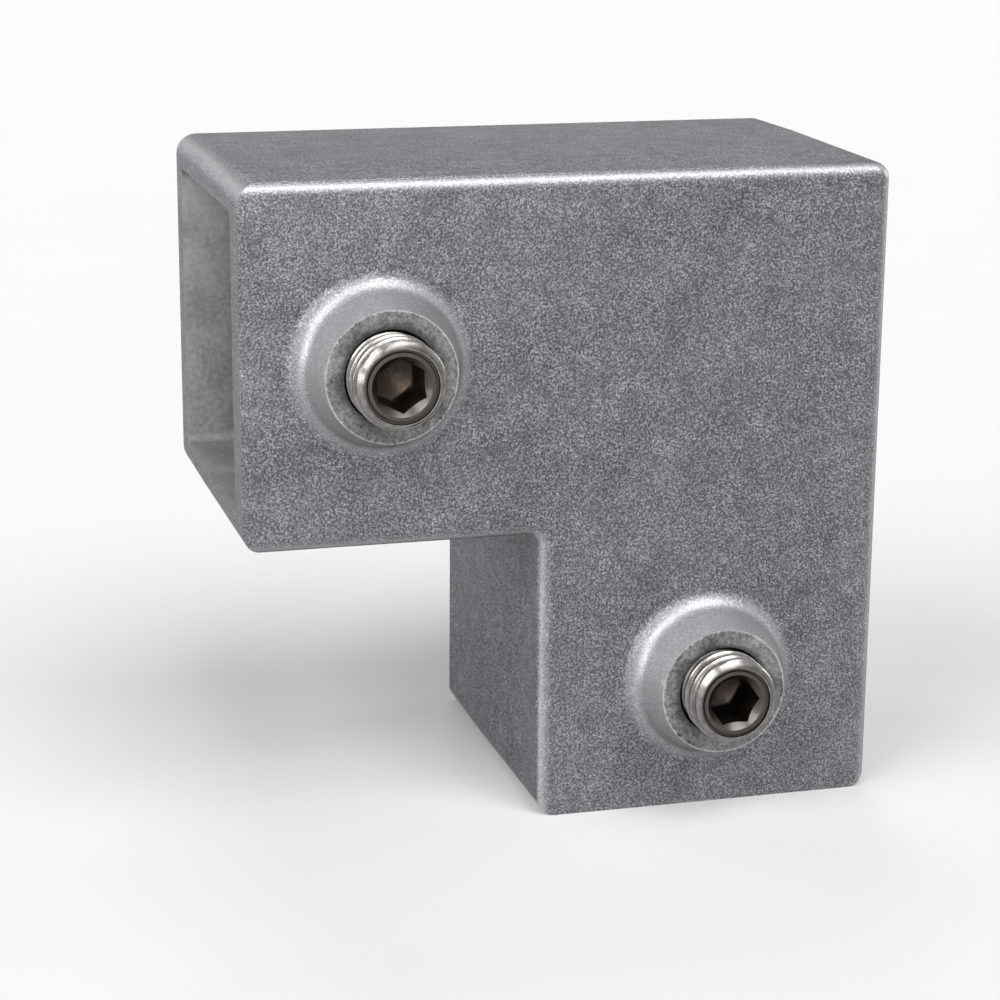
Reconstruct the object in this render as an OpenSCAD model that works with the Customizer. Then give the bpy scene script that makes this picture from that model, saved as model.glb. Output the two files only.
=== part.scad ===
// Square tube elbow: a cast two-way corner socket for square tube.
// Two legs meet at a right angle, each with a square socket, a stop ledge at
// the corner and a domed boss that carries a cup point set screw.
// The origin is the centre of the lower socket's mouth, on the tube's axis.
// +Z runs up the lower leg, -X runs out along the side leg, -Y is the screw side.

/* [Tube] */
// Outside width of the square tube that each socket takes
tube_w = 25; // [20:1:40]
// Play between the tube and its socket, over the full width
tube_play = 1; // [0.4:0.1:2]

/* [Casting] */
// Wall thickness on the three plain sides of a leg
wall = 3; // [2:0.25:5]
// Wall thickness on the side that carries the screws
screw_wall = 3.6; // [2.5:0.1:6]
// Length of each leg beyond the corner block
leg_reach = 26; // [22:1:60]
// Width of the ledge that stops the tube at the corner block
stop_ledge = 2; // [1:0.25:4]
// Radius of the rolled edges along the legs
edge_r = 1.2; // [0.4:0.1:2]
// Radius of the outline's outer corner, seen from the screw side
corner_r = 1.5; // [1:0.1:3]
// Radius of the outline's corners at the mouths, seen from the screw side
mouth_r = 2; // [1:0.1:2.6]
// Radius of the fillet in the crook between the legs
crook_r = 0.8; // [0.4:0.1:3]
// Radius of the corners inside the sockets
socket_r = 0.8; // [0.3:0.1:1.5]

/* [Screw bosses] */
// Distance of each screw from the mouth of its socket
screw_setback = 12; // [10:0.5:18]
// Height of a boss above the casting's face
boss_h = 4.3; // [2:0.1:8]
// Diameter of the machined seat on top of a boss
boss_seat_d = 11.4; // [10.5:0.1:14]
// Diameter of a boss where its foot runs out into the face
boss_foot_d = 16.8; // [15:0.1:20]
// Radius of the fillet round the foot of a boss
boss_foot_r = 2; // [1:0.1:3]
// Width of the shallow countersink round a screw hole
hole_sink = 0.45; // [0.2:0.05:0.8]
// Depth of that countersink
hole_sink_depth = 0.15; // [0.1:0.05:0.5]

/* [Set screws] */
// Thread diameter
screw_d = 8; // [6:0.5:9]
// Play between the screw and its hole, on the radius
screw_play = 0.05; // [0.02:0.01:0.1]
// Length of a set screw
screw_l = 12; // [10:1:20]
// Chamfer round the driven end
screw_chamfer = 0.7; // [0.3:0.1:1]
// Width across the flats of the hexagon socket
hex_af = 4; // [3:0.5:4.5]
// Depth of the hexagon socket
hex_depth = 5; // [3:0.5:6]
// Diameter of the countersink round the hexagon socket, at the end face
hex_mouth_d = 5.2; // [4.8:0.1:5.6]
// Diameter of the ring on the cup point
cup_d = 5; // [4:0.25:5.5]
// Depth of the hollow in the cup point
cup_depth = 1; // [0.5:0.1:1.5]
// How far the side screw's point stands into its socket
side_screw_in = 0.3; // [0:0.1:1]
// How far the lower screw's point stands into its socket
lower_screw_in = 0.9; // [0:0.1:1]
// Turn of the side screw's hexagon
side_hex_turn = 56; // [0:1:60]
// Turn of the lower screw's hexagon
lower_hex_turn = 3; // [0:1:60]

/* [Hidden] */
$fn = 96;
// Overshoot that carries a cut clear of the face it opens
past = 1;
socket_w = tube_w + tube_play;
leg_w = socket_w + 2 * wall;
core_w = socket_w - 2 * stop_ledge;
// Overall length of a leg, and the height of the side leg's axis
span = leg_w + leg_reach;
axis_z = span - leg_w / 2;
face_y = -socket_w / 2 - screw_wall;
back_y = socket_w / 2 + wall;
depth = back_y - face_y;
half_w = leg_w / 2;
hole_r = screw_d / 2 + screw_play;
boss_foot_out = boss_foot_d / 2;
boss_seat_out = boss_seat_d / 2;
hex_corner_r = hex_af / 2 / cos(30);
// Radius of the pilot hole, which stays just clear of the hexagon's flats
hex_pilot_r = hex_af / 2 - 0.1;
// Included angle of the drill point below the hexagon
drill_angle = 120;
hex_drill_h = hex_pilot_r / tan(drill_angle / 2);
// Height of the 45 degree countersink cone, from the pilot hole's radius up
hex_sink_h = hex_mouth_d / 2 - hex_pilot_r;
cup_chamfer = (screw_d - cup_d) / 2;
cup_rim = 0.25;
cup_hollow_r = cup_d / 2 - cup_rim;
cast_grey = [0.56, 0.56, 0.58];
screw_steel = [0.70, 0.69, 0.66];

// Repeats what is made for the lower leg on the side leg, across the corner
module on_side_leg() {
    translate([0, 0, axis_z])
        mirror([1, 0, -1])
            translate([0, 0, -axis_z])
                children();
}

module on_both_legs() {
    children();
    on_side_leg() children();
}

// Rectangle with round corners, from its low to its high corner
module round_rect(low, high, r) {
    translate([low.x + r, low.y])
        square([high.x - low.x - 2 * r, high.y - low.y]);
    translate([low.x, low.y + r])
        square([high.x - low.x, high.y - low.y - 2 * r]);
    for (x = [low.x + r, high.x - r], y = [low.y + r, high.y - r])
        translate([x, y]) circle(r);
}

// Section of a leg, looking along the tube
module leg_section() {
    round_rect([-half_w, face_y], [half_w, back_y], edge_r);
}

// Section of the socket, or of the narrower core beyond the stop ledge
module socket_section(width) {
    round_rect([-width / 2, -width / 2], [width / 2, width / 2], socket_r);
}

// Turns profile through a right angle about an axis along Y: the profile's
// x is the distance from the axis and its y is the depth through the casting
module corner_turn(axis_x, axis_up, start) {
    translate([axis_x, 0, axis_up])
        rotate([90, 0, 0])
            mirror([0, 0, 1])
                rotate([0, 0, start])
                    rotate_extrude(angle = 90)
                        children();
}

// Strip along the outer edge of the leg's section, for the outer corner
module outer_strip() {
    intersection() {
        translate([corner_r - half_w, 0]) leg_section();
        translate([0, face_y]) square([corner_r, depth]);
    }
}

// Strip along the inner edge of the leg's section, for the crook
module crook_strip() {
    reach = (crook_r + edge_r) * sqrt(2);
    intersection() {
        translate([crook_r + half_w, 0]) leg_section();
        translate([crook_r, face_y]) square([reach - crook_r, depth]);
    }
}

// Outside of the casting before its mouths are rounded
module outer_form() {
    on_both_legs()
        linear_extrude(span - corner_r)
            leg_section();
    corner_turn(half_w - corner_r, span - corner_r, 0)
        outer_strip();
    corner_turn(-half_w - crook_r, leg_reach - crook_r, 0)
        crook_strip();
}

// Waste outside one rounded corner of a mouth, as a bar through the depth
module mouth_corner_waste() {
    translate([0, back_y + past, 0])
        rotate([90, 0, 0])
            linear_extrude(depth + 2 * past)
                difference() {
                    translate([-past, -past]) square(mouth_r + past);
                    translate([mouth_r, mouth_r]) circle(mouth_r);
                }
}

module mouth_corners() {
    for (side = [0, 1])
        mirror([side, 0, 0])
            translate([-half_w, 0, 0])
                mouth_corner_waste();
}

// Half section of a boss: flat seat, straight skirt and a fillet at its foot
module boss_profile() {
    run = boss_foot_out - boss_seat_out;
    rise = boss_h - boss_foot_r;
    tip_dist = norm([run, rise]);
    turn = atan2(rise, -run) + acos(boss_foot_r / tip_dist);
    touch = [boss_foot_out + boss_foot_r * cos(turn), boss_foot_r + boss_foot_r * sin(turn)];
    difference() {
        polygon([[0, 0], [boss_foot_out, 0], touch, [boss_seat_out, boss_h], [0, boss_h]]);
        translate([boss_foot_out, boss_foot_r]) circle(boss_foot_r);
    }
}

// Places a part on the screw axis of the lower leg, +Z pointing out of the face
module on_screw_axis() {
    translate([0, face_y, screw_setback])
        rotate([90, 0, 0])
            children();
}

module boss() {
    on_screw_axis()
        rotate_extrude()
            boss_profile();
}

module screw_hole() {
    through = boss_h + screw_wall;
    on_screw_axis() {
        translate([0, 0, -screw_wall - past])
            cylinder(h = through + 2 * past, r = hole_r);
        translate([0, 0, boss_h - hole_sink_depth])
            cylinder(h = hole_sink_depth, r1 = hole_r, r2 = hole_r + hole_sink);
    }
}

// Space for one tube, and the narrower core that runs on into the corner
module socket() {
    translate([0, 0, -past])
        linear_extrude(leg_reach + past)
            socket_section(socket_w);
    linear_extrude(axis_z + core_w / 2)
        socket_section(core_w);
}

module elbow_casting() {
    color(cast_grey)
        difference() {
            union() {
                outer_form();
                on_both_legs() boss();
            }
            on_both_legs() {
                mouth_corners();
                socket();
                screw_hole();
            }
        }
}

// Half section of a set screw, driven end up, cup point at the origin
module screw_profile() {
    r = screw_d / 2;
    polygon([
        [0, cup_depth],
        [cup_hollow_r, 0],
        [cup_d / 2, 0],
        [r, cup_chamfer],
        [r, screw_l - screw_chamfer],
        [r - screw_chamfer, screw_l],
        [0, screw_l]
    ]);
}

// Hexagon socket with its countersink and drill point
module hex_socket(turn) {
    translate([0, 0, screw_l - hex_depth])
        rotate([0, 0, turn])
            cylinder(h = hex_depth + past, r = hex_corner_r, $fn = 6);
    translate([0, 0, screw_l - hex_depth - hex_drill_h])
        cylinder(h = hex_drill_h, r1 = 0, r2 = hex_pilot_r);
    translate([0, 0, screw_l - hex_sink_h])
        cylinder(h = hex_sink_h + past, r1 = hex_pilot_r, r2 = hex_mouth_d / 2 + past);
}

module set_screw(point_in, turn) {
    color(screw_steel)
        on_screw_axis()
            translate([0, 0, -screw_wall - point_in])
                difference() {
                    rotate_extrude() screw_profile();
                    hex_socket(turn);
                }
}

module side_set_screw() {
    on_side_leg() set_screw(side_screw_in, side_hex_turn);
}

module lower_set_screw() {
    set_screw(lower_screw_in, lower_hex_turn);
}

elbow_casting();
side_set_screw();
lower_set_screw();
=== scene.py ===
"""Dresses a cast square tube elbow and its set screws, and sets up a plain studio for it.

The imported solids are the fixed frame. The casting keeps its solid's form, with its hard edges
broken as tumbling leaves them. The set screws are turned and threaded by a node tree.
Lengths are metres, except where a name says millimetres.
"""
import math

import bmesh
import bpy
from bpy.props import FloatProperty, FloatVectorProperty, IntProperty, PointerProperty
from mathutils import Matrix, Vector


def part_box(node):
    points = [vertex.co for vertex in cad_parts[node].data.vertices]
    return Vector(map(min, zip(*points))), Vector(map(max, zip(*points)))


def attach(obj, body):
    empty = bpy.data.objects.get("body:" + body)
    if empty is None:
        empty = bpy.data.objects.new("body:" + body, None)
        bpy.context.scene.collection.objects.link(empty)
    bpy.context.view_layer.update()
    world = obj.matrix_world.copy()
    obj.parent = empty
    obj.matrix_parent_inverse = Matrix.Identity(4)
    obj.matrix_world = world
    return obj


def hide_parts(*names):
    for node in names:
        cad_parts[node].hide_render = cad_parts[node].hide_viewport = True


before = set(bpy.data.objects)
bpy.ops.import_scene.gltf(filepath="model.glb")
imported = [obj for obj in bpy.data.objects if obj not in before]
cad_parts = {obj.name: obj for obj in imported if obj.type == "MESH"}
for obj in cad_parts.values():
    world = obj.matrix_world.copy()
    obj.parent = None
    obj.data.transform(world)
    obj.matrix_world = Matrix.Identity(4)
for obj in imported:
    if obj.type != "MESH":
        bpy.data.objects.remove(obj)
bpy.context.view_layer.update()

bl_info = {
    "name": "Square Tube Elbow",
    "version": (1, 0, 0),
    "blender": (4, 5, 0),
    "location": "View3D > Sidebar > Tube Elbow",
    "description": "Finishes a cast tube elbow, threads its set screws and lights it",
    "category": "Object",
}

MM = 0.001
CASTING_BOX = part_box("elbow_casting")
SCREW_BOXES = {"side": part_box("side_set_screw"), "lower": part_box("lower_set_screw")}


def screw_axis(name):
    """The x and z of a set screw's axis, which runs along Y."""
    low, high = SCREW_BOXES[name]
    return (low.x + high.x) / 2, (low.z + high.z) / 2


SCREW_LENGTH = SCREW_BOXES["side"][1].y - SCREW_BOXES["side"][0].y
SCREW_RADIUS = (SCREW_BOXES["side"][1].x - SCREW_BOXES["side"][0].x) / 2
SEAT_Y = CASTING_BOX[0].y

# Sizes of the casting that no solid's box gives
FACE_Y = -16.6 * MM
BOSS_RADIUS = 8.4 * MM
SEAT_RADIUS = 5.7 * MM
SINK_RADIUS = 4.5 * MM
SOCKET_HALF = 13 * MM
CORE_HALF = 11 * MM
# Where the two halves of the die meet
PARTING_Y = 5.5 * MM

# The casting's finishes, by their place in its list of materials
CAST, FACED, CORED = range(3)

# Specular level of the aluminium, whose gleam comes from its metallic share
DULL_SPECULAR = 0.1

# Edges that turn by more than this are shaded sharp
CASTING_CREASE = math.radians(50.0)
SCREW_CREASE = math.radians(38.0)

# What properties of one kind have in common
COLOUR = {"subtype": "COLOR", "size": 3, "min": 0.0, "max": 1.0}
LENGTH = {"subtype": "DISTANCE", "unit": "LENGTH"}
ANGLE = {"subtype": "ANGLE", "unit": "ROTATION"}

# The camera's sensor, and the nearest that it sees
SENSOR_MM = 36.0
NEAR = 10 * MM

# Each lamp's name, degrees to the right of the front, degrees up, strength, and width in degrees
LAMPS = (
    ("front_window", 18.0, 55.0, 2.2, 44.0),
    ("left_window", -58.0, 40.0, 1.5, 38.0),
    ("back_light", 172.0, 54.0, 0.5, 22.0),
    ("face_light", -10.0, 4.0, 0.9, 22.0),
    ("left_light", -88.0, 8.0, 1.1, 22.0),
    ("back_left_light", -135.0, 10.0, 0.9, 22.0),
    ("right_light", 100.0, 10.0, 0.7, 22.0),
)


class Wire:
    """A socket's value in a node tree. Python's operators on it add the tree's Math nodes."""

    def __init__(self, tree, socket):
        self.tree = tree
        self.socket = socket

    def math(self, operation, *values):
        """A Math node on this value and the others."""
        return self.tree.add("ShaderNodeMath", {"operation": operation}, [self, *values])

    def __add__(self, other):
        return self.math("ADD", other)

    def __radd__(self, other):
        return self.math("ADD", other)

    def __sub__(self, other):
        return self.math("SUBTRACT", other)

    def __rsub__(self, other):
        return self.tree.add("ShaderNodeMath", {"operation": "SUBTRACT"}, [other, self])

    def __mul__(self, other):
        return self.math("MULTIPLY", other)

    def __rmul__(self, other):
        return self.math("MULTIPLY", other)

    def __truediv__(self, other):
        return self.math("DIVIDE", other)

    def __lt__(self, other):
        return self.math("LESS_THAN", other)

    def min(self, other):
        return self.math("MINIMUM", other)

    def max(self, other):
        return self.math("MAXIMUM", other)

    def clip(self):
        """The value held between 0 and 1."""
        return self.max(0.0).min(1.0)


class Tree:
    """A node tree that is written as expressions."""

    def __init__(self, nodes):
        self.nodes = nodes

    def feed(self, socket, value):
        """Links a wire to a socket, or sets the socket to a plain value."""
        if isinstance(value, Wire):
            self.nodes.links.new(value.socket, socket)
        else:
            socket.default_value = value

    def add(self, kind, settings=None, sockets=(), output=0):
        """Adds a node: its settings are set first, then its sockets take values or links."""
        node = self.nodes.nodes.new(kind)
        for name, value in (settings or {}).items():
            setattr(node, name, value)
        pairs = sockets.items() if isinstance(sockets, dict) else enumerate(sockets)
        for key, value in pairs:
            for one in value if isinstance(value, list) else [value]:
                self.feed(node.inputs[key], one)
        return Wire(self, node.outputs[output]) if len(node.outputs) else None

    def mix(self, factor, low, high):
        """A colour that goes from low to high with factor."""
        node = self.nodes.nodes.new("ShaderNodeMix")
        node.data_type = "RGBA"
        by_name = {"Factor_Float": factor, "A_Color": low, "B_Color": high}
        for socket in node.inputs:
            if socket.identifier in by_name:
                self.feed(socket, by_name[socket.identifier])
        result = next(s for s in node.outputs if s.identifier == "Result_Color")
        return Wire(self, result)

    def ramp(self, value, low, high):
        """0 where value is at low and 1 where it is at high, in a smooth step between."""
        return self.add(
            "ShaderNodeMapRange",
            {"interpolation_type": "SMOOTHSTEP"},
            {"Value": value, "From Min": low, "From Max": high, "To Min": 0.0, "To Max": 1.0},
        )


def toned(colour, factor=1.0):
    """A colour made darker or lighter, as the four numbers that a colour socket takes."""
    return (*(min(1.0, c * factor) for c in colour), 1.0)


class Finish(Tree):
    """A material whose pattern is measured in millimetres on the piece's own coordinates."""

    def __init__(self, name):
        self.material = bpy.data.materials.new(name)
        self.material.use_nodes = True
        super().__init__(self.material.node_tree)
        self.shader = self.nodes.nodes["Principled BSDF"]
        coordinates = self.add("ShaderNodeTexCoord", output="Object")
        self.place = self.add(
            "ShaderNodeVectorMath", {"operation": "SCALE"}, {"Vector": coordinates, "Scale": 1 / MM}
        )

    def axes(self):
        """The three coordinates in millimetres."""
        split = self.add("ShaderNodeSeparateXYZ", None, [self.place])
        node = split.socket.node
        return [Wire(self, node.outputs[axis]) for axis in "XYZ"]

    def reach(self):
        """How far a point stands from the nearer screw axis, in millimetres."""
        x, _, z = self.axes()
        spans = []
        for name in SCREW_BOXES:
            axis_x, axis_z = screw_axis(name)
            dx = x - axis_x / MM
            dz = z - axis_z / MM
            spans.append((dx * dx + dz * dz).math("SQRT"))
        return spans[0].min(spans[1])

    def noise(self, size_mm, detail=2.0, roughness=0.5):
        """Noise whose features are about size_mm across."""
        return self.add(
            "ShaderNodeTexNoise",
            {"noise_dimensions": "3D"},
            {
                "Vector": self.place,
                "Scale": 1 / size_mm,
                "Detail": detail,
                "Roughness": roughness,
            },
        )

    def bump(self, height, depth_mm, under=None):
        """A normal that follows height, which stands depth_mm at 1."""
        sockets = {"Strength": 1.0, "Distance": depth_mm * MM, "Height": height}
        if under:
            sockets["Normal"] = under
        return self.add("ShaderNodeBump", None, sockets)

    def set(self, **sockets):
        """Sets or links sockets of the Principled shader; _ stands for a space in a name."""
        for name, value in sockets.items():
            self.feed(self.shader.inputs[name.replace("_", " ")], value)
        return self.material


class CastingLook(bpy.types.PropertyGroup):
    """What a user would change on the casting."""

    skin: FloatVectorProperty(
        name="Cast skin", description="Colour of the blasted aluminium skin",
        default=(0.176, 0.172, 0.185), **COLOUR,
    )
    seat: FloatVectorProperty(
        name="Machined seat", description="Colour of the faced seats and screw holes",
        default=(0.188, 0.184, 0.187), **COLOUR,
    )
    core: FloatVectorProperty(
        name="Cored sockets", description="Colour of the unblasted metal inside the sockets",
        default=(0.360, 0.355, 0.362), **COLOUR,
    )
    grain_mm: FloatProperty(
        name="Grain", description="Size of the blasted grain in millimetres",
        default=0.18, min=0.05,
    )
    grain_contrast: FloatProperty(
        name="Grain contrast", description="How far the grain goes from dark to light",
        default=0.66, min=0.0,
    )
    grain_depth_mm: FloatProperty(
        name="Grain depth", description="Depth of the blasted grain in millimetres",
        default=0.03, min=0.0,
    )
    # The pale colour laid on bosses and rolled edges: partly wear from handling, partly a painted
    # highlight
    crown: FloatVectorProperty(
        name="Rubbed metal", description="Colour of bosses and edges where handling rubs them",
        default=(0.690, 0.685, 0.702), **COLOUR,
    )
    # How much of that pale colour is laid on: partly wear, partly a painted highlight
    burnish_and_sheen: FloatProperty(
        name="Burnish", description="How far bosses and edges are rubbed bright",
        subtype="FACTOR", default=1.0, min=0.0, max=1.0,
    )
    gleam: FloatProperty(
        name="Gleam", description="How far the blasted skin mirrors its surroundings",
        subtype="FACTOR", default=0.7, min=0.0, max=1.0,
    )
    draft: FloatProperty(
        name="Draft", description="Lean of the long sides from the parting plane",
        default=math.radians(0.4), min=0.0, max=math.radians(2.0), **ANGLE,
    )
    edge_break: FloatProperty(
        name="Edge break", description="Width of the broken hard edges",
        default=0.18 * MM, min=0.0, **LENGTH,
    )


class ScrewLook(bpy.types.PropertyGroup):
    """What a user would change on the set screws."""

    pitch: FloatProperty(
        name="Pitch", description="Rise of the thread in one turn",
        default=1.25 * MM, min=0.2 * MM, **LENGTH,
    )
    crest_play: FloatProperty(
        name="Crest play", description="How far the crests stand back from the nominal radius",
        default=0.12 * MM, min=0.0, **LENGTH,
    )
    thread_depth: FloatProperty(
        name="Thread depth", description="Height of the thread from root to crest",
        default=0.74 * MM, min=0.0, **LENGTH,
    )
    end_radius: FloatProperty(
        name="End radius", description="Radius of the driven end inside its chamfer",
        default=3.3 * MM, min=MM, **LENGTH,
    )
    cup_radius: FloatProperty(
        name="Cup radius", description="Radius of the ring on the cup point",
        default=2.5 * MM, min=MM, **LENGTH,
    )
    hex_across: FloatProperty(
        name="Hexagon", description="Width of the hexagon socket across its flats",
        default=4.0 * MM, min=MM, **LENGTH,
    )
    hex_depth: FloatProperty(
        name="Hexagon depth", description="Depth of the hexagon socket",
        default=5.0 * MM, min=MM, **LENGTH,
    )
    side_turn: FloatProperty(
        name="Side screw's turn", description="Angle at which the side screw stands",
        default=math.radians(34.0), **ANGLE,
    )
    lower_turn: FloatProperty(
        name="Lower screw's turn", description="Angle at which the lower screw stands",
        default=math.radians(3.0), **ANGLE,
    )
    segments: IntProperty(
        name="Segments", description="Faces round a screw, in sixes", default=96, min=24, step=6,
    )
    steel: FloatVectorProperty(
        name="Steel", description="Colour of the bright screw steel",
        default=(0.34, 0.33, 0.316), **COLOUR,
    )
    # The dark colour of the painted shade in thread roots, on the driven end and in hexagon sockets
    grime: FloatVectorProperty(
        name="Grime", description="Colour of the oil in thread roots and hexagon sockets",
        default=(0.035, 0.028, 0.022), **COLOUR,
    )


class StageLook(bpy.types.PropertyGroup):
    """What a user would change on the stage."""

    floor: FloatVectorProperty(
        name="Floor", description="Colour of the floor",
        default=(0.76, 0.76, 0.76), **COLOUR,
    )
    ambient: FloatProperty(
        name="Ambient", description="Strength of the white surroundings on matt surfaces",
        default=0.06, min=0.0,
    )
    light: FloatProperty(
        name="Light", description="Strength of all the lamps together", default=1.0, min=0.0,
    )
    camera_place: FloatVectorProperty(
        name="Camera place", description="Where the camera stands",
        subtype="TRANSLATION", unit="LENGTH", size=3, default=(-78.5 * MM, -230.5 * MM, 90.2 * MM),
    )
    azimuth: FloatProperty(
        name="Azimuth", description="How far the camera looks to the right of straight ahead",
        default=math.radians(15.42), **ANGLE,
    )
    elevation: FloatProperty(
        name="Elevation", description="How far the camera looks down",
        default=math.radians(15.25), **ANGLE,
    )
    roll: FloatProperty(
        name="Roll", description="How far the camera is tipped about its own axis",
        default=math.radians(0.43), **ANGLE,
    )
    lens_mm: FloatProperty(
        name="Lens", description="Focal length in millimetres on a 36 mm sensor",
        default=95.8, min=10.0,
    )


class ElbowSettings(bpy.types.PropertyGroup):
    """All the settings of the elbow."""

    casting: PointerProperty(type=CastingLook)
    screws: PointerProperty(type=ScrewLook)
    stage: PointerProperty(type=StageLook)


def cast_skin(look):
    """Blasted die cast aluminium: bright grain over a slow mottle, and bosses and rolled edges
    painted lighter, partly as wear and partly as a painted highlight.
    """
    boss = BOSS_RADIUS / MM
    clear_of_face = 0.2
    grain_low, grain_span, grain_power = 0.34, 0.36, 1.6
    even_grain, patchy_grain = 0.45, 1.1
    mottle_share, base_shade = 0.16, 0.06
    crown_sheen_rub, foot_sheen_rub, roll_sheen_rub = 0.04, 0.36, 0.38
    finish = Finish("blasted_aluminium")
    reach = finish.reach()
    raised = finish.axes()[1] < FACE_Y / MM + clear_of_face
    rolled = finish.add("ShaderNodeAttribute", {"attribute_name": "rolled"}, output="Fac")
    grain = finish.noise(look.grain_mm, detail=2.0, roughness=0.6)
    patches = finish.noise(1.6, detail=1.0)
    mottle = finish.noise(5.0, detail=3.0)
    # Boss walls, boss feet and rolled edges are painted lighter: partly wear, partly a painted
    # highlight
    crown = (1.0 - finish.ramp(reach, boss - 2.1, boss - 1.5)) * raised
    foot = (1.0 - finish.ramp(reach, boss - 1.6, boss)) * raised
    rubbed_and_sheened = (crown * crown_sheen_rub + foot * foot_sheen_rub).max(rolled * roll_sheen_rub) * look.burnish_and_sheen
    speck = ((grain - grain_low) / grain_span).clip().math("POWER", grain_power)
    speck = speck * look.grain_contrast * (even_grain + patches * patchy_grain)
    shade = speck + (mottle - 0.5) * mottle_share + base_shade
    colour = finish.mix(shade.clip(), toned(look.skin, 0.3), toned(look.skin, 2.9))
    # Painted highlight, partly wear: these places mix towards the pale crown colour
    colour = finish.mix(rubbed_and_sheened, colour, toned(look.crown))
    waves = finish.bump(finish.noise(3.0, detail=2.0), 0.03)
    pebbles = finish.noise(look.grain_mm * 1.3, detail=1.0) * (1.0 - rubbed_and_sheened * 0.6)
    normal = finish.bump(pebbles, look.grain_depth_mm, waves)
    return finish.set(
        Base_Color=colour, Metallic=look.gleam * (1.0 - crown * 0.3),
        Specular_Tint=toned((0.42, 0.42, 0.42)), Specular_IOR_Level=DULL_SPECULAR,
        Roughness=0.38 + mottle * 0.08, Normal=normal,
    )


def machined_seat(look):
    """Faced aluminium: dull and scuffed, with a bright raised lip at the rim that is partly a
    painted highlight, and painted shade in a ring round the screw.
    """
    seat, sink = SEAT_RADIUS / MM, SINK_RADIUS / MM
    ring_rate, ring_wander = 9.0, 1.2
    burr_glint_wander, shade_wander = 0.5, 1.6
    shade_share = 0.45
    finish = Finish("faced_aluminium")
    reach = finish.reach()
    scuff = finish.noise(0.3, detail=4.0, roughness=0.75)
    clouds = finish.noise(1.8, detail=2.0)
    wander = finish.noise(2.5) * ring_wander
    rings = ((reach + wander) * ring_rate).math("SINE") * 0.5 + 0.5
    pits = finish.ramp(finish.noise(0.6, detail=2.0), 0.62, 0.72)
    # The rim is painted bright: partly a raised lip, partly a painted highlight on the edge
    burr_glint = finish.ramp(reach + (scuff - 0.5) * burr_glint_wander, seat - 0.2, seat - 0.05)
    # Painted shade: the seat is darker in a ring round the screw hole, where the screw shades it
    painted_shade = 1.0 - finish.ramp(reach + (clouds - 0.5) * shade_wander, sink - 0.2, sink + 0.4)
    shade = (scuff * 2.0 + clouds * 0.9 + rings * 0.08 - pits * 0.4 - 1.1).clip()
    colour = finish.mix(shade, toned(look.seat, 0.45), toned(look.seat, 2.2))
    colour = finish.mix(burr_glint * (0.3 + clouds * 0.8), colour, toned(look.seat, 3.0))
    colour = finish.mix(painted_shade * shade_share, colour, toned(look.seat, 0.3))
    normal = finish.bump(rings * 0.2 + scuff - pits * 0.5, 0.02)
    return finish.set(
        Base_Color=colour, Metallic=look.gleam * 0.35, Specular_IOR_Level=DULL_SPECULAR,
        Roughness=0.4 + scuff * 0.2, Normal=normal,
    )


def cored_skin(look):
    """As-cast aluminium inside the sockets: smoother than the skin, with a soft mottle."""
    finish = Finish("cored_aluminium")
    grain = finish.noise(0.5, detail=3.0)
    mottle = finish.noise(5.0, detail=3.0)
    shade = finish.ramp(mottle * 0.6 + grain * 0.4, 0.3, 0.7)
    colour = finish.mix(shade, toned(look.core, 0.7), toned(look.core, 1.3))
    normal = finish.bump(grain, 0.02)
    return finish.set(
        Base_Color=colour, Metallic=look.gleam * 0.7, Specular_IOR_Level=DULL_SPECULAR,
        Roughness=0.42 + grain * 0.15, Normal=normal,
    )


def screw_steel(look):
    """Bright plated steel, with painted shade in the thread roots, on the driven end and in the
    hexagon socket.
    """
    finish = Finish("plated_steel")
    grime = finish.add("ShaderNodeAttribute", {"attribute_name": "grime"}, output="Fac")
    smear = finish.noise(0.8, detail=4.0, roughness=0.6)
    fine = finish.noise(0.18, detail=2.0)
    shade = finish.ramp(smear, 0.35, 0.7)
    colour = finish.mix(shade, toned(look.steel, 0.6), toned(look.steel))
    # Painted shade: thread roots, the driven end and the hexagon socket go towards the dark colour
    shade_amount = (grime * (0.75 + smear * 0.5)).clip()
    colour = finish.mix(shade_amount, colour, toned(look.grime))
    normal = finish.bump(fine, 0.006)
    return finish.set(
        Base_Color=colour, Metallic=1.0, Roughness=0.16 + smear * 0.12 + shade_amount * 0.1, Normal=normal
    )


def plain_mesh(carrier):
    """The evaluated mesh of an object, with the object itself and its modifiers gone."""
    graph = bpy.context.evaluated_depsgraph_get()
    mesh = bpy.data.meshes.new_from_object(carrier.evaluated_get(graph), depsgraph=graph)
    bpy.data.objects.remove(carrier)
    return mesh


def piece(name, mesh, body, node):
    """Links a finished mesh as a piece that rides on a body and stands for a solid."""
    obj = bpy.data.objects.new(name, mesh)
    bpy.context.scene.collection.objects.link(obj)
    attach(obj, body)
    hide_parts(node)
    return obj


def step(low, high, value):
    """0 below low, 1 above high and straight between."""
    return min(1.0, max(0.0, (value - low) / (high - low)))


def lean_sides(work, draft):
    """Leans the casting's long sides inwards from the parting plane, as a die needs them."""
    bmesh.ops.bisect_plane(
        work, geom=work.verts[:] + work.edges[:] + work.faces[:], dist=0.001 * MM,
        plane_co=(0.0, PARTING_Y, 0.0), plane_no=(0.0, 1.0, 0.0),
    )
    half = CASTING_BOX[1].x
    top = CASTING_BOX[1].z
    crook = top - 2 * half
    # Points within skin of a long side lean in full, and those beyond deep, in the sockets, not
    skin, deep = 1.5 * MM, 2.6 * MM
    for vert in work.verts:
        x, y, z = vert.co
        lean = abs(y - PARTING_Y) * math.tan(draft)
        right = step(half - deep, half - skin, x)
        above = step(top - deep, top - skin, z)
        left = step(half - deep, half - skin, -x) * step(-crook - skin, -crook - skin / 2, -z)
        below = step(-crook - deep, -crook - skin, -z) * step(half - skin, half - skin / 2, -x)
        vert.co.x += lean * (left * step(-half - skin, -half - skin / 2, x) - right)
        vert.co.z += lean * (below * step(crook - skin, crook - skin / 2, z) - above)


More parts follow.
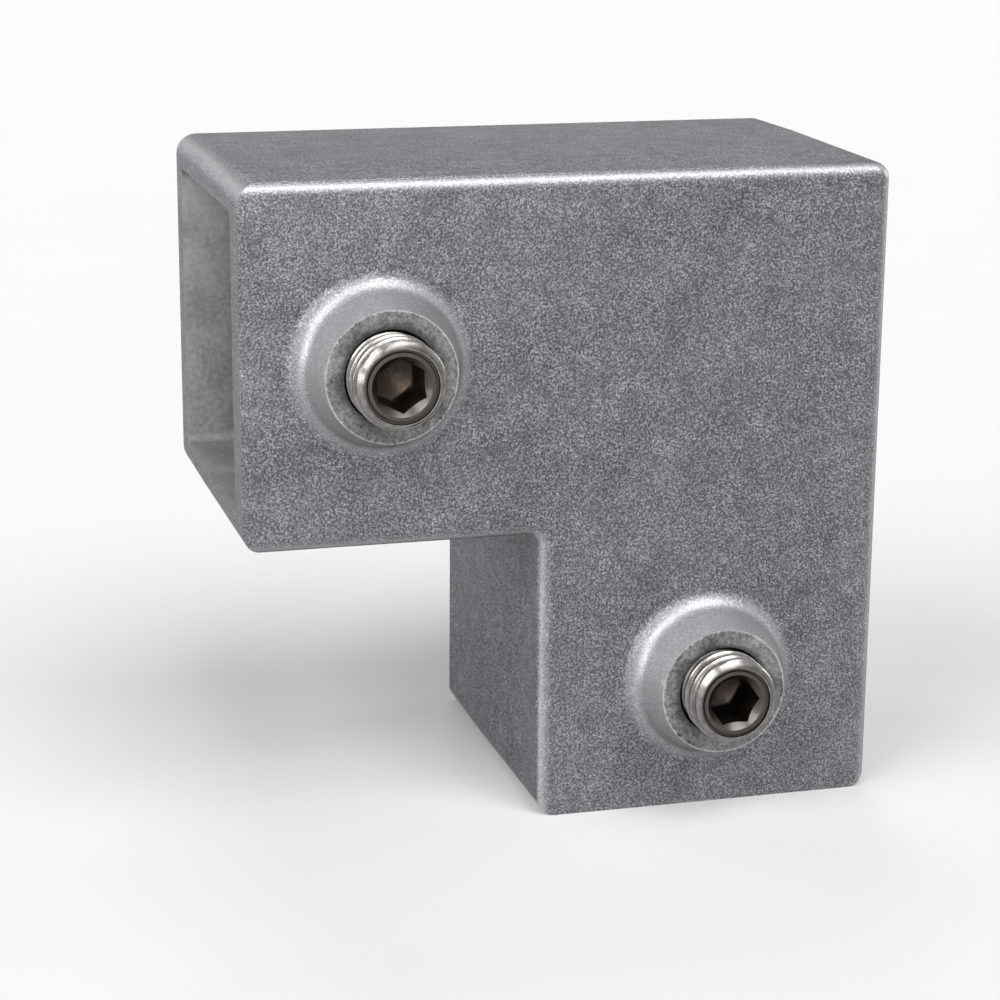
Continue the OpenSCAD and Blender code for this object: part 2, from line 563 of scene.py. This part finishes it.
def broken_edges(source, width, draft):
    """A merged copy of a solid's mesh, with its sides leaned and its hard edges broken by width."""
    hard_angle = math.radians(40.0)
    flat_angle = math.radians(0.05)
    weld = 0.002 * MM
    work = bmesh.new()
    work.from_mesh(source)
    bmesh.ops.remove_doubles(work, verts=work.verts, dist=weld)
    bmesh.ops.dissolve_limit(work, angle_limit=flat_angle, verts=work.verts, edges=work.edges)
    lean_sides(work, draft)
    hard = [e for e in work.edges if e.is_manifold and e.calc_face_angle(0.0) > hard_angle]
    bmesh.ops.bevel(
        work, geom=hard, offset=width, offset_type="OFFSET", segments=2, profile=0.5,
        affect="EDGES", clamp_overlap=True, loop_slide=True,
    )
    bmesh.ops.triangulate(work, faces=[f for f in work.faces if len(f.verts) > 4])
    for face in work.faces:
        face.smooth = True
    mesh = bpy.data.meshes.new("elbow_casting_skin")
    work.to_mesh(mesh)
    work.free()
    return mesh


def within(point, low, high, slack=0.1 * MM):
    """Whether a point lies in a box, or within slack of it."""
    return all(a - slack <= p <= b + slack for p, a, b in zip(point, low, high))


def surface_of(face):
    """Which finish a face of the casting takes."""
    centre = face.center
    socket, core = SOCKET_HALF, CORE_HALF
    half = CASTING_BOX[1].x
    side_z = CASTING_BOX[1].z - half
    mouth_x = CASTING_BOX[0].x
    stop = side_z - half
    lip = 0.4 * MM
    hole_room = 0.7 * MM
    for name in SCREW_BOXES:
        axis_x, axis_z = screw_axis(name)
        reach = math.hypot(centre.x - axis_x, centre.z - axis_z)
        if centre.y < -socket + lip and reach < SCREW_RADIUS + hole_room:
            return FACED
    if centre.y < SEAT_Y + lip / 2:
        return FACED
    rooms = (
        ((-socket, -socket, lip), (socket, socket, stop)),
        ((-core, -core, stop), (core, core, side_z + core)),
        ((mouth_x + lip, -socket, side_z - socket), (-half, socket, side_z + socket)),
        ((-half, -core, side_z - core), (core, core, side_z + core)),
    )
    return CORED if any(within(centre, low, high) for low, high in rooms) else CAST


def mark_rolls(mesh):
    """Stores how far each point stands on a rolled edge: 0 on the flats and 1 about half way."""
    full_roll = 0.25
    marks = mesh.attributes.new("rolled", "FLOAT", "POINT")
    for vert in mesh.vertices:
        turned = 1.0 - max(map(abs, vert.normal))
        marks.data[vert.index].value = min(1.0, turned / full_roll)


class ELBOW_OT_casting(bpy.types.Operator):
    """Make the casting: its solid's form with broken edges, and a finish for each surface"""

    bl_idname = "elbow.casting"
    bl_label = "Casting"

    def execute(self, context):
        look = context.scene.elbow.casting
        mesh = broken_edges(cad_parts["elbow_casting"].data, look.edge_break, look.draft)
        # In the order of CAST, FACED and CORED
        for finish in (cast_skin(look), machined_seat(look), cored_skin(look)):
            mesh.materials.append(finish)
        for face in mesh.polygons:
            face.material_index = surface_of(face)
        mark_rolls(mesh)
        mesh.set_sharp_from_angle(angle=CASTING_CREASE)
        casting = piece("cast_elbow", mesh, "elbow", "elbow_casting")
        weighted = casting.modifiers.new("Face weighted normals", "WEIGHTED_NORMAL")
        weighted.keep_sharp = True
        return {"FINISHED"}


def node_group(name, inputs):
    """A geometry node tree with named inputs: its tree, input wires and input identifiers."""
    group = bpy.data.node_groups.new(name, "GeometryNodeTree")
    identifiers = {}
    for label, kind in inputs.items():
        socket = group.interface.new_socket(name=label, in_out="INPUT", socket_type=kind)
        identifiers[label] = socket.identifier
    group.interface.new_socket(name="Geometry", in_out="OUTPUT", socket_type="NodeSocketGeometry")
    tree = Tree(group)
    source = group.nodes.new("NodeGroupInput")
    wires = {label: Wire(tree, source.outputs[label]) for label in inputs}
    return tree, wires, identifiers


def turned_grid(tree, segments, rows):
    """A grid to be turned about Z: its mesh, its angle field and its row field from 0 up."""
    grid = tree.add(
        "GeometryNodeMeshGrid",
        None,
        {"Size X": 1.0, "Size Y": 1.0, "Vertices X": segments + 1, "Vertices Y": rows},
        output="Mesh",
    )
    split = tree.add("ShaderNodeSeparateXYZ", None, [tree.add("GeometryNodeInputPosition")])
    node = split.socket.node
    round_share = Wire(tree, node.outputs["X"]) + 0.5
    row = ((Wire(tree, node.outputs["Y"]) + 0.5) * (rows - 1)).math("ROUND")
    return grid, round_share * math.tau, row


def placed(tree, mesh, angle, radius, height, grime):
    """The grid with each point at a radius and height, and its share of painted shade stored on it.
    """
    point = tree.add(
        "ShaderNodeCombineXYZ",
        None,
        [radius * angle.math("COSINE"), radius * angle.math("SINE"), height],
    )
    stored = tree.add(
        "GeometryNodeStoreNamedAttribute",
        {"data_type": "FLOAT", "domain": "POINT"},
        {"Geometry": mesh, "Name": "grime", "Value": grime},
    )
    return tree.add("GeometryNodeSetPosition", None, {"Geometry": stored, "Position": point})


def by_row(tree, row, values):
    """Picks the value that stands at the row's number."""
    node = tree.nodes.nodes.new("GeometryNodeIndexSwitch")
    node.data_type = "FLOAT"
    while len(node.index_switch_items) < len(values):
        node.index_switch_items.new()
    tree.nodes.links.new(row.socket, node.inputs["Index"])
    for number, value in enumerate(values):
        tree.feed(node.inputs[number + 1], value)
    return Wire(tree, node.outputs[0])


def set_screw_tree():
    """The node tree that turns a set screw about Z: cup point at 0, driven end up."""
    names = (
        "Length", "Radius", "Pitch", "Thread depth", "End radius", "Cup radius",
        "Hexagon", "Hexagon depth", "Turns", "Segments",
    )
    inputs = {name: "NodeSocketFloat" for name in names}
    inputs["Steel"] = "NodeSocketMaterial"
    tree, size, identifiers = node_group("set_screw", inputs)
    length = size["Length"]
    end_r = size["End radius"]
    cup_r = size["Cup radius"]

    # Thread: the grid's rows follow the helix, are clipped by the two end chamfers and run out
    # at the driven end, whose rim is wider than the thread's root
    rows_a_turn = 14.0
    root_share, crest_share = 0.16, 0.86
    # Painted shade in the thread roots
    root_shade = 0.95
    rows = (size["Turns"] + 1.0) * rows_a_turn + 1.0
    mesh, angle, row = turned_grid(tree, size["Segments"], rows)
    climb = (row / rows_a_turn - 1.0 + angle / math.tau) * size["Pitch"]
    height = climb.max(0.0).min(length)
    wave = ((row / rows_a_turn).math("FRACT") * 2.0 - 1.0).math("ABSOLUTE")
    ridge = tree.ramp(wave, root_share, crest_share)
    threaded = size["Radius"] - size["Thread depth"] * (1.0 - ridge)
    below_end = length - height
    radius = threaded.max(end_r - below_end).min(cup_r + height).min(end_r + below_end)
    thread = placed(tree, mesh, angle, radius, height, (1.0 - ridge) * root_shade)

    # Driven end: the rim, a turned groove, the countersink, then the hexagon and its drill point.
    # Each ring of its profile has a radius, a height and a share of painted shade, which darkens
    # the groove, the end face and the hexagon.
    sixth = math.tau / 6.0
    drill_slope = math.tan(math.radians(30.0))
    mouth_share, pilot_share, floor_share = 1.28, 0.95, 0.97
    dish, groove, fall = 0.10 * MM, 0.26 * MM, 0.01 * MM
    rim, groove_out, groove_in, land = 0.12 * MM, 0.18 * MM, 0.34 * MM, 0.42 * MM
    ring_count = 11
    apothem = size["Hexagon"] * 0.5
    mouth_r = apothem * mouth_share
    pilot_r = apothem * pilot_share
    mesh, angle, row = turned_grid(tree, size["Segments"], ring_count)
    from_flat = (angle / sixth).math("FRACT") * sixth - sixth / 2.0
    hex_r = apothem / from_flat.math("COSINE")
    floor_z = length - size["Hexagon depth"]
    drill_z = floor_z - pilot_r * drill_slope
    lip_z = length - dish
    profile = (
        (end_r, length, 0.0),
        (end_r - rim, length - fall, 0.0),
        (end_r - groove_out, length - groove, 0.85),
        (end_r - groove_in, length - groove, 0.85),
        (end_r - land, lip_z - 2 * fall, 0.8),
        (mouth_r, lip_z, 0.72),
        (hex_r, lip_z - mouth_r + hex_r, 0.8),
        (hex_r, floor_z, 1.0),
        (hex_r * floor_share, floor_z, 1.0),
        (pilot_r, floor_z, 1.0),
        (0.0, drill_z, 1.0),
    )
    radius, height, grime = (by_row(tree, row, [ring[i] for ring in profile]) for i in range(3))
    driven = placed(tree, mesh, angle, radius, height, grime)

    # Cup point: the ring, then the hollow
    # The cup point takes a little painted shade
    cup_rim, cup_depth, cup_shade = 0.25 * MM, 1.0 * MM, 0.3
    mesh, angle, row = turned_grid(tree, size["Segments"], 3)
    radius = by_row(tree, row, [cup_r, cup_r - cup_rim, 0.0])
    height = by_row(tree, row, [0.0, 0.0, cup_depth])
    cup = placed(tree, mesh, angle, radius, height, cup_shade)

    weld = {"Distance": 0.003 * MM}
    joined = tree.add("GeometryNodeJoinGeometry", None, {"Geometry": [thread, driven, cup]})
    welded = tree.add("GeometryNodeMergeByDistance", None, {"Geometry": joined, **weld})
    real = tree.add("GeometryNodeRealizeInstances", None, {"Geometry": welded})
    steel = tree.add("GeometryNodeSetMaterial", None, {"Geometry": real, "Material": size["Steel"]})
    tree.add("NodeGroupOutput", None, {"Geometry": steel})
    return tree.nodes, identifiers


def face_outwards(mesh):
    """Turns a closed mesh's faces outwards and shades them smooth."""
    work = bmesh.new()
    work.from_mesh(mesh)
    bmesh.ops.recalc_face_normals(work, faces=work.faces)
    for face in work.faces:
        face.smooth = True
    work.to_mesh(mesh)
    work.free()


class ELBOW_OT_set_screws(bpy.types.Operator):
    """Make the set screws: threaded, chamfered and cup pointed, with a hexagon socket"""

    bl_idname = "elbow.set_screws"
    bl_label = "Set screws"

    def execute(self, context):
        look = context.scene.elbow.screws
        group, identifiers = set_screw_tree()
        steel = screw_steel(look)
        turns = math.ceil(SCREW_LENGTH / look.pitch)
        sizes = {
            "Length": SCREW_LENGTH,
            "Radius": SCREW_RADIUS - look.crest_play,
            "Pitch": look.pitch,
            "Thread depth": look.thread_depth,
            "End radius": look.end_radius,
            "Cup radius": look.cup_radius,
            "Hexagon": look.hex_across,
            "Hexagon depth": look.hex_depth,
            "Turns": float(turns),
            "Segments": float(look.segments),
            "Steel": steel,
        }
        for name, turn in (("side", look.side_turn), ("lower", look.lower_turn)):
            carrier = bpy.data.objects.new(f"{name}_screw_blank", bpy.data.meshes.new("blank"))
            context.scene.collection.objects.link(carrier)
            modifier = carrier.modifiers.new("Set screw", "NODES")
            modifier.node_group = group
            for label, value in sizes.items():
                modifier[identifiers[label]] = value
            mesh = plain_mesh(carrier)
            if not mesh.polygons:
                raise RuntimeError(f"the {name} set screw came out empty")
            point_y = SCREW_BOXES[name][1].y
            axis_x, axis_z = screw_axis(name)
            out_of_face = Matrix.Rotation(math.radians(90.0), 4, "X")
            place = Matrix.Translation((axis_x, point_y, axis_z))
            mesh.transform(place @ out_of_face @ Matrix.Rotation(turn, 4, "Z"))
            face_outwards(mesh)
            mesh.set_sharp_from_angle(angle=SCREW_CREASE)
            body, node = f"{name}_screw", f"{name}_set_screw"
            piece(f"{name}_threaded_screw", mesh, body, node)
        return {"FINISHED"}


def soft_sun(name, azimuth, elevation, strength, width):
    """A lamp width degrees across, azimuth degrees to the right of the front and elevation up."""
    turn = math.radians(azimuth)
    rise = math.radians(elevation)
    level = math.cos(rise)
    towards = Vector((math.sin(turn) * level, -math.cos(turn) * level, math.sin(rise)))
    data = bpy.data.lights.new(name, "SUN")
    data.energy = strength
    data.angle = math.radians(width)
    lamp = bpy.data.objects.new(name, data)
    lamp.rotation_euler = towards.to_track_quat("Z", "Y").to_euler()
    bpy.context.scene.collection.objects.link(lamp)


def seen_or_mirrored(tree):
    """1 for the rays that see or mirror a surface, and 0 for those that only light one."""
    rays = tree.add("ShaderNodeLightPath").socket.node
    seen = Wire(tree, rays.outputs["Is Camera Ray"])
    for ray in ("Is Glossy Ray", "Is Transmission Ray"):
        seen = seen.max(Wire(tree, rays.outputs[ray]))
    return seen


def white_surroundings(ambient):
    """White where it is seen or mirrored, and at the ambient strength on matt surfaces."""
    world = bpy.data.worlds.new("white_room")
    world.use_nodes = True
    tree = Tree(world.node_tree)
    background = world.node_tree.nodes["Background"]
    background.inputs["Color"].default_value = (1.0, 1.0, 1.0, 1.0)
    strength = seen_or_mirrored(tree) * (1.0 - ambient) + ambient
    world.node_tree.links.new(strength.socket, background.inputs["Strength"])
    bpy.context.scene.world = world


def pale_floor(colour):
    """A wide floor under the lower mouth, which lights the object less than it shows."""
    reach = 3.0
    uneven, bounce = 0.985, 0.4
    mesh = bpy.data.meshes.new("floor")
    signs = ((-1, -1), (1, -1), (1, 1), (-1, 1))
    mesh.from_pydata([(x * reach, y * reach, 0.0) for x, y in signs], [], [(0, 1, 2, 3)])
    finish = Finish("pale_floor")
    tone = finish.noise(40.0, detail=2.0)
    shade = finish.mix(tone, toned(colour, uneven), toned(colour))
    shade = finish.mix(seen_or_mirrored(finish), toned(colour, bounce), shade)
    mesh.materials.append(finish.set(Base_Color=shade, Roughness=0.9, Metallic=0.0))
    floor = bpy.data.objects.new("floor", mesh)
    bpy.context.scene.collection.objects.link(floor)


class ELBOW_OT_stage(bpy.types.Operator):
    """Make the stage: a pale floor, soft light and the camera"""

    bl_idname = "elbow.stage"
    bl_label = "Stage"

    def execute(self, context):
        look = context.scene.elbow.stage
        scene = context.scene
        scene.view_settings.view_transform = "Standard"
        white_surroundings(look.ambient)
        pale_floor(look.floor)
        for name, azimuth, elevation, strength, width in LAMPS:
            soft_sun(name, azimuth, elevation, strength * look.light, width)
        data = bpy.data.cameras.new("photo_camera")
        data.lens = look.lens_mm
        data.sensor_width = SENSOR_MM
        data.clip_start = NEAR
        camera = bpy.data.objects.new("photo_camera", data)
        scene.collection.objects.link(camera)
        look_down = Matrix.Rotation(math.pi / 2 - look.elevation, 4, "X")
        turn_right = Matrix.Rotation(-look.azimuth, 4, "Z")
        tip = Matrix.Rotation(look.roll, 4, "Z")
        place = Matrix.Translation(look.camera_place)
        camera.matrix_world = place @ turn_right @ look_down @ tip
        scene.camera = camera
        return {"FINISHED"}


class ELBOW_PT_panel(bpy.types.Panel):
    """Lists the elbow's pieces and their settings in the 3D view's sidebar"""

    bl_idname = "ELBOW_PT_panel"
    bl_label = "Tube Elbow"
    bl_space_type = "VIEW_3D"
    bl_region_type = "UI"
    bl_category = "Tube Elbow"

    def draw(self, context):
        settings = context.scene.elbow
        groups = (
            (ELBOW_OT_casting, settings.casting),
            (ELBOW_OT_set_screws, settings.screws),
            (ELBOW_OT_stage, settings.stage),
        )
        for operator, look in groups:
            box = self.layout.box()
            box.operator(operator.bl_idname)
            for name in look.__annotations__:
                box.prop(look, name)


CLASSES = (
    CastingLook, ScrewLook, StageLook, ElbowSettings,
    ELBOW_OT_casting, ELBOW_OT_set_screws, ELBOW_OT_stage, ELBOW_PT_panel,
)


def register():
    for cls in CLASSES:
        bpy.utils.register_class(cls)
    bpy.types.Scene.elbow = PointerProperty(type=ElbowSettings)


def unregister():
    del bpy.types.Scene.elbow
    for cls in reversed(CLASSES):
        bpy.utils.unregister_class(cls)


def main():
    register()
    bpy.ops.elbow.casting()
    bpy.ops.elbow.set_screws()
    bpy.ops.elbow.stage()


if __name__ == "__main__":
    main()
